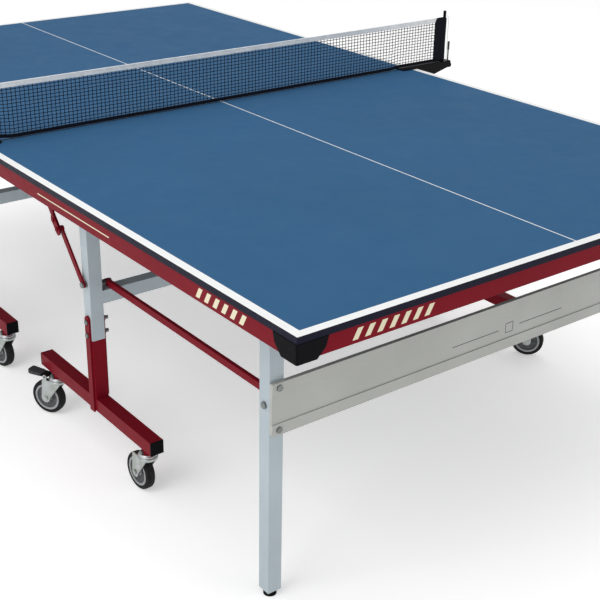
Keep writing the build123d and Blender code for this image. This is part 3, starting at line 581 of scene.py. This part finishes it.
class TABLE_OT_wheels(bpy.types.Operator):
    """Make a grooved tyre and a ribbed rim for each caster"""

    bl_idname = "table.wheels"
    bl_label = "Make the wheels"

    def execute(self, context):
        options = settings().casters
        radius = joint("near_brake_roll_a")["pos_m"][2]
        rim_r = radius - TYRE_DEPTH
        across = np.linspace(-0.0122, 0.0122, 41)
        groove = options.tread_depth * np.exp(-(((np.abs(across) - 0.0042) / 0.0008) ** 2))
        crown = radius - 0.0042 * np.abs(across / 0.0122) ** 5 - groove
        tyre = np.concatenate([np.stack([across, crown], 1),
                               [(0.0130, radius - 0.0068), (0.0127, rim_r + 0.0020),
                                (0.0110, rim_r), (-0.0110, rim_r), (-0.0127, rim_r + 0.0020),
                                (-0.0130, radius - 0.0068)]])
        ring_r, web_r, hub_r, bore_r = rim_r, 0.0325, 0.0125, 0.0043
        steps = [(bore_r, 0.0118), (0.0080, 0.0120), (hub_r - 0.001, 0.0114), (hub_r, 0.0060),
                 (0.0180, 0.0056), (0.0225, 0.0056), (0.0270, 0.0056), (web_r - 0.0005, 0.0060),
                 (web_r, 0.0108), (web_r + 0.001, 0.0118), (ring_r - 0.0012, 0.0120), (ring_r, 0.0110)]
        front = np.array([(half, r) for r, half in steps])
        rim = np.concatenate([front, (front * (-1, 1))[::-1]])[::-1]

        def ribs(along, r, angle):
            """Web thickened in narrow bands at equal angles, fading at the hub and the ring."""
            band = np.clip(np.cos(angle * options.spokes), 0, 1) ** 6
            on_web = (r > hub_r) & (r < web_r - 0.0002)
            return along * (1 + 0.75 * band * on_web)

        tint = settings().colours
        grey = moulded("rim_grey", tint.rim_grey, 0.45)
        # painted shade: a darkened copy of the rim plastic laid on the recessed web
        dark = moulded("rim_web", tuple(c * WEB_SHADE for c in tint.rim_grey), 0.5)
        black = rubber()
        for half, kind, letter in casters():
            roll = joint(f"{half}_{kind}_roll_{letter}")
            label = f"{half}_{kind}_{letter}"
            body = f"{half}_{kind}_roller_{letter}"
            made = turned(f"tyre_{label}", roll["pos_m"], roll["axis"], tyre, TURN_SEGMENTS,
                          material=black, body=body, slot="tyre")
            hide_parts(f"{half}_{kind}_wheel_{letter}")
            disc = turned(f"rim_{label}", roll["pos_m"], roll["axis"], rim, TURN_SEGMENTS, ribs,
                          material=grey, body=body, slot="tyre")
            disc.data.materials.append(dark)
            mean_r = (rim[:, 1] + np.roll(rim[:, 1], -1)) / 2
            is_web = (mean_r > hub_r + 0.0005) & (mean_r < web_r - 0.0001)
            index = np.repeat(is_web.astype(np.int32), TURN_SEGMENTS)
            disc.data.polygons.foreach_set("material_index", index)
        return {"FINISHED"}


class TABLE_OT_caster_rings(bpy.types.Operator):
    """Make the stepped bearing ring over each caster's crown"""

    bl_idname = "table.caster_rings"
    bl_label = "Make the caster rings"

    def execute(self, context):
        inner, outer = 0.0153, 0.0235
        profile = np.array([(0.0008, inner), (0.0062, inner), (0.0062, 0.0185), (0.0052, 0.0192),
                            (0.0040, 0.0196), (0.0036, outer - 0.0008), (0.0028, outer),
                            (0.0008, outer)])
        for half, kind, letter in casters():
            swivel = joint(f"{half}_{kind}_swivel_{letter}")
            turned(f"ring_{half}_{kind}_{letter}", swivel["pos_m"], (0, 0, 1), profile, 64,
                   material=bpy.data.materials["zinc"], body=f"{half}_base", slot="zinc")
        return {"FINISHED"}


class TABLE_OT_pedal_treads(bpy.types.Operator):
    """Make the ribbed tread over each brake pedal"""

    bl_idname = "table.pedal_treads"
    bl_label = "Make the pedal treads"

    def execute(self, context):
        reach, half_width = (0.046, 0.0945), 0.0155
        rows = np.linspace(0, 1, 40)
        a, b = rounded_loop(32, 0.45)
        swell = np.sqrt(np.clip(1 - np.abs(2 * rows - 1) ** 8, 0.02, 1))
        lift = 0.005 * rows ** 2 + 0.0012 * np.abs(np.sin(rows * np.pi * 6))
        for half, letter in ((h, s) for h in HALVES for s in "ab"):
            stem = np.array(joint(f"{half}_brake_swivel_{letter}")["pos_m"])
            pin = joint(f"{half}_pedal_{letter}")
            across = np.array(pin["axis"], float)
            out = np.array(pin["pos_m"], float) - stem
            out[2] = 0.0
            out /= np.linalg.norm(out)
            height = pin["pos_m"][2]
            middle = stem * (1, 1, 0) + out * (reach[0] + (reach[1] - reach[0]) * rows)[:, None]
            rings = middle[:, None] + across * (a * half_width * swell[:, None])[..., None]
            rings[..., 2] = height + 0.0005 + b * 0.0048 * swell[:, None] + lift[:, None] * (b > 0)
            swept(f"pedal_tread_{half}_{letter}", rings,
                  material=bpy.data.materials["black_plastic"], body=f"{half}_pedal_{letter}_body",
                  slot="pedal_plastic")
        return {"FINISHED"}


def net_reach():
    """Where the mesh ends at the pockets."""
    return NET_HIGH.y - MESH_IN


def hang(y):
    """How far the net hangs at y: a parabola, nothing at the pockets and all of the sag halfway."""
    return settings().net.sag * (1 - (np.asarray(y) / net_reach()) ** 2)


def lower_edge(y):
    """Underside of the hem: close over the board, and stepping up over the clamps."""
    return NET_LOW.z + CLAMP_STEP * smoothstep(0.66, 0.70, np.abs(y))


class TABLE_OT_net_edges(bpy.types.Operator):
    """Sew the white top tape and the black hem"""

    bl_idname = "table.net_edges"
    bl_label = "Sew the tape and hem"

    def execute(self, context):
        sizes, tint = settings().net, settings().colours
        y = np.linspace(-net_reach() - 0.004, net_reach() + 0.004, 241)
        a, b = rounded_loop(24, 0.7)
        half = sizes.tape_height / 2
        bead = 0.0011 + 0.0010 * smoothstep(0.35, 0.9, b)
        pull = 0.00025 * np.sin(y * 2 * np.pi / 0.031) + 0.0002 * np.sin(y * 2 * np.pi / 0.083)
        rings = np.stack([a * bead + pull[:, None],
                          np.repeat(y[:, None], 24, 1),
                          b * half + (NET_HIGH.z - half - hang(y))[:, None]], -1)
        # the tape's weave carries only a little painted shade in its hollows
        swept("net_tape", rings, material=woven("tape_white", tint.tape_white, 0.0012, 0.75, 0.05),
              body="net_set", slot="net_cloth")
        half = sizes.hem_height / 2
        a, b = rounded_loop(20, 0.6)
        rings = np.stack([a * 0.0011 + pull[:, None], np.repeat(y[:, None], 20, 1),
                          b * half + (lower_edge(y) + half)[:, None]], -1)
        swept("net_hem", rings, material=woven("net_black", tint.net_black, 0.0011, 0.8),
              body="net_set", slot="net_cloth")
        return {"FINISHED"}


class TABLE_OT_net_pockets(bpy.types.Operator):
    """Sew the end pockets that hold the poles"""

    bl_idname = "table.net_pockets"
    bl_label = "Sew the pockets"

    def execute(self, context):
        rows, loop = 61, 48
        v = np.linspace(0, 1, rows)
        bottom, top = BOARD_HIGH.z + POCKET_LIFT, NET_HIGH.z
        z = bottom + (top - bottom) * (1 - (1 - v) ** 1.6)
        dome = np.sqrt(np.clip(1 - np.clip((z - top + 0.011) / 0.0111, 0, 1) ** 2, 0.0005, 1))
        hem = 0.5 + 0.5 * smoothstep(0.0, 0.004, z - bottom)
        half = POCKET_HALF - 0.0012 * np.sin(np.pi * v)
        a, b = rounded_loop(loop, 0.62)
        shoulder = 0.45 + 0.55 * dome
        for letter, side in (("a", -1), ("b", 1)):
            middle = side * (NET_HIGH.y - POCKET_IN)
            pole = side * (NET_HIGH.y - POLE_IN)
            y = middle + side * a * (half * shoulder)[:, None]
            round_pole = np.exp(-(((y - pole) / 0.011) ** 2))
            crease = 0.0005 * np.sin(y * 520 + z[:, None] * 60)
            x = b * (0.0026 + 0.0042 * round_pole + crease) * (dome * hem)[:, None]
            rings = np.stack([x, y, np.repeat(z[:, None], loop, 1)], -1)
            if side < 0:
                rings = rings[:, ::-1]
            swept(f"net_pocket_{letter}", rings[:, ::-1], material=bpy.data.materials["net_black"],
                  body="net_set", slot="net_cloth")
        return {"FINISHED"}


class TABLE_OT_net_mesh(bpy.types.Operator):
    """Weave the net's strands between tape, hem and pockets"""

    bl_idname = "table.net_mesh"
    bl_label = "Weave the net"

    def execute(self, context):
        sizes = settings().net
        reach = net_reach() + 0.003
        weave = sizes.strand * 0.3
        columns = int(2 * reach / sizes.cell_width)
        y = (np.arange(columns + 1) - columns / 2) * sizes.cell_width
        low = lower_edge(y) + sizes.hem_height - STITCH
        high = NET_HIGH.z - hang(y) - sizes.tape_height + STITCH
        share = np.linspace(0, 1, 25)
        z = low[:, None] + (high - low)[:, None] * share
        upright = np.stack([weave * np.cos(np.pi * z / sizes.cell_height), y[:, None] + 0 * z, z], -1)
        rows = int((NET_HIGH.z - NET_LOW.z - sizes.tape_height - sizes.hem_height)
                   / sizes.cell_height) + 1
        along = np.linspace(-reach, reach, 2 * columns + 1)
        share = (np.arange(rows) + 0.5) / rows
        floor = lower_edge(along) + sizes.hem_height
        roof = NET_HIGH.z - hang(along) - sizes.tape_height
        z = floor + share[:, None] * (roof - floor)
        cross = -weave * np.cos(np.pi * along / sizes.cell_width) * np.ones_like(z)
        level = np.stack([cross, along + 0 * z, z], -1)
        points, quads, ends = tubes(upright, sizes.strand / 2, 5)
        more, quads2, ends2 = tubes(level, sizes.strand / 2, 5)
        shift = len(points)
        net = piece("net_mesh", np.concatenate([points, more]),
                    np.concatenate([quads, quads2 + shift]),
                    ends + [[i + shift for i in e] for e in ends2],
                    material=strand_material(), body="net_set", slot="net_cloth")
        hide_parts("net")
        return {"FINISHED"}


def strand_material():
    """Twisted polyester twine: fine diagonal ridges along each strand."""
    finish = Finish("net_strand")
    _, y, z = finish.axes()
    twist = finish.calc("SINE", finish.calc("MULTIPLY", finish.calc("ADD", y, z), 3200.0))
    tint = finish.mottled(settings().colours.net_black, 50.0, 0.2)
    return finish.shade(Base_Color=tint, Roughness=0.75, Specular_IOR_Level=0.1,
                        Normal=finish.bump(twist, 0.0001, 0.5))


class TABLE_OT_tension_cords(bpy.types.Operator):
    """Lay the light tension cord from each pocket over to the clamp's arm"""

    bl_idname = "table.tension_cords"
    bl_label = "Lay the tension cords"

    def execute(self, context):
        size = settings().net.cord
        finish = Finish("cord_white")
        _, _, z = finish.axes()
        braid = finish.calc("SINE", finish.calc("MULTIPLY", z, 2600.0))
        cord = finish.shade(Base_Color=finish.mottled(settings().colours.tape_white, 80.0, 0.1),
                            Roughness=0.7, Normal=finish.bump(braid, 0.0002, 0.6))
        bend, x = 0.0043, 0.0066
        start_y, start_z, turn_z, foot_z = 0.9020, 0.9035, 0.9120, 0.7635
        turn = np.linspace(np.pi, 0, 17)
        rise = np.linspace(start_z, turn_z, 8)[:-1]
        fall = np.linspace(turn_z, foot_z, 60)[1:]
        y = np.concatenate([start_y + 0 * rise, start_y + bend + bend * np.cos(turn),
                            start_y + 2 * bend + 0 * fall])
        z = np.concatenate([rise, turn_z + bend * np.sin(turn), fall])
        for letter, side in (("a", -1), ("b", 1)):
            path = np.stack([x + 0 * y, side * y, z], 1)
            points, quads, ends = tubes(path[None], size / 2, 12)
            obj = piece(f"tension_cord_{letter}", points, quads, ends, material=cord, body="net_set",
                        slot="net_cloth")
        return {"FINISHED"}


class TABLE_OT_hook_grips(bpy.types.Operator):
    """Make the ribbed grip on each clamp's hook rod"""

    bl_idname = "table.hook_grips"
    bl_label = "Make the hook grips"

    def execute(self, context):
        top = BOARD_HIGH.z + GRIP_TOP
        rise = np.linspace(0, GRIP_LENGTH, 61)
        radius = 0.0036 + 0.0003 * np.cos(rise * 2 * np.pi / 0.003)
        radius *= np.sqrt(np.clip(1 - np.abs(2 * rise / GRIP_LENGTH - 1) ** 14, 0.03, 1))
        profile = np.concatenate([np.stack([rise, radius], 1), [(GRIP_LENGTH, 0.0002), (0.0, 0.0002)]])
        for letter, side in (("a", -1), ("b", 1)):
            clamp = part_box(f"net_clamp_{letter}")
            y = side * (max(abs(clamp[0].y), abs(clamp[1].y)) - ROD_RADIUS)
            turned(f"hook_grip_{letter}", (0, y, top - GRIP_LENGTH), (0, 0, 1), profile, 24,
                   material=bpy.data.materials["black_plastic"], body="net_set",
                   slot="black_plastic")
        return {"FINISHED"}


class TABLE_OT_stage(bpy.types.Operator):
    """Set the pale floor, the soft lights and the camera"""

    bl_idname = "table.stage"
    bl_label = "Set the stage"

    def execute(self, context):
        options, scene = settings().stage, context.scene
        finish = Finish("floor")
        pale = finish.shade(Base_Color=finish.mottled(options.floor, 0.8, 0.01), Roughness=0.9,
                            Specular_IOR_Level=0.1, Emission_Color=(1.0, 1.0, 1.0),
                            Emission_Strength=options.glow)
        corners = np.array([(-1, -1), (1, -1), (1, 1), (-1, 1)]) * options.floor_half
        floor = piece("floor", np.column_stack([corners, np.full(4, -FLOOR_GAP)]),
                      np.array([[0, 1, 2, 3]]), material=pale)
        world = bpy.data.worlds.new("room")
        world.use_nodes = True
        world.node_tree.nodes["Background"].inputs["Color"].default_value = (1.0, 1.0, 1.0, 1.0)
        world.node_tree.nodes["Background"].inputs["Strength"].default_value = options.sky
        scene.world = world
        soft_box("key_light", (1.2, -4.2, 3.6), (0.3, 0, 0.5), 3.2, options.key)
        soft_box("top_light", (-0.5, 0.5, 4.6), (0, 0, 0.7), 4.0, options.key * 0.75)
        soft_box("fill_light", (4.6, 1.5, 2.4), (0.6, 0, 0.5), 2.6, options.key * 0.18)
        data = bpy.data.cameras.new("camera")
        data.lens, data.sensor_width = CAMERA_LENS, CAMERA_SENSOR
        camera = bpy.data.objects.new("camera", data)
        scene.collection.objects.link(camera)
        ahead = Vector(CAMERA_AHEAD).normalized()
        right = Vector(CAMERA_RIGHT).normalized()
        up = right.cross(ahead)
        turn = Matrix((right, up, -ahead)).transposed().to_4x4()
        camera.matrix_world = Matrix.Translation(CAMERA_PLACE) @ turn
        scene.camera = camera
        scene.view_settings.view_transform = "Standard"
        return {"FINISHED"}


def soft_box(name, place, target, size, power):
    """A square area light at a place, turned to its target."""
    data = bpy.data.lights.new(name, "AREA")
    data.shape, data.size, data.energy = "SQUARE", size, power
    light = bpy.data.objects.new(name, data)
    bpy.context.scene.collection.objects.link(light)
    aim = Vector(target) - Vector(place)
    light.matrix_world = Matrix.Translation(place) @ aim.to_track_quat("-Z", "Y").to_matrix().to_4x4()


STEPS = (TABLE_OT_boards, TABLE_OT_steelwork, TABLE_OT_plastics, TABLE_OT_wheels,
         TABLE_OT_caster_rings, TABLE_OT_pedal_treads, TABLE_OT_net_edges, TABLE_OT_net_pockets,
         TABLE_OT_net_mesh, TABLE_OT_tension_cords, TABLE_OT_hook_grips, TABLE_OT_stage)


class TABLE_PT_panel(bpy.types.Panel):
    """The table's settings and steps"""

    bl_idname = "TABLE_PT_panel"
    bl_label = "Table-tennis table"
    bl_space_type = "VIEW_3D"
    bl_region_type = "UI"
    bl_category = "Table"

    def draw(self, context):
        for title in ("colours", "lines", "net", "casters", "stage"):
            group = getattr(context.scene.table_settings, title)
            box = self.layout.box()
            box.label(text=title.capitalize())
            for key in group.bl_rna.properties.keys():
                if key not in ("rna_type", "name"):
                    box.prop(group, key)
        for step in STEPS:
            self.layout.operator(step.bl_idname)


CLASSES = (TABLE_PG_colours, TABLE_PG_lines, TABLE_PG_net, TABLE_PG_casters, TABLE_PG_stage,
           TABLE_PG_settings, *STEPS, TABLE_PT_panel)


def register():
    for item in CLASSES:
        bpy.utils.register_class(item)
    bpy.types.Scene.table_settings = bpy.props.PointerProperty(type=TABLE_PG_settings)


def unregister():
    del bpy.types.Scene.table_settings
    for item in reversed(CLASSES):
        bpy.utils.unregister_class(item)


def main():
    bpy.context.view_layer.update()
    register()
    for step in STEPS:
        group, name = step.bl_idname.split(".")
        getattr(getattr(bpy.ops, group), name)()


if __name__ == "__main__":
    main()
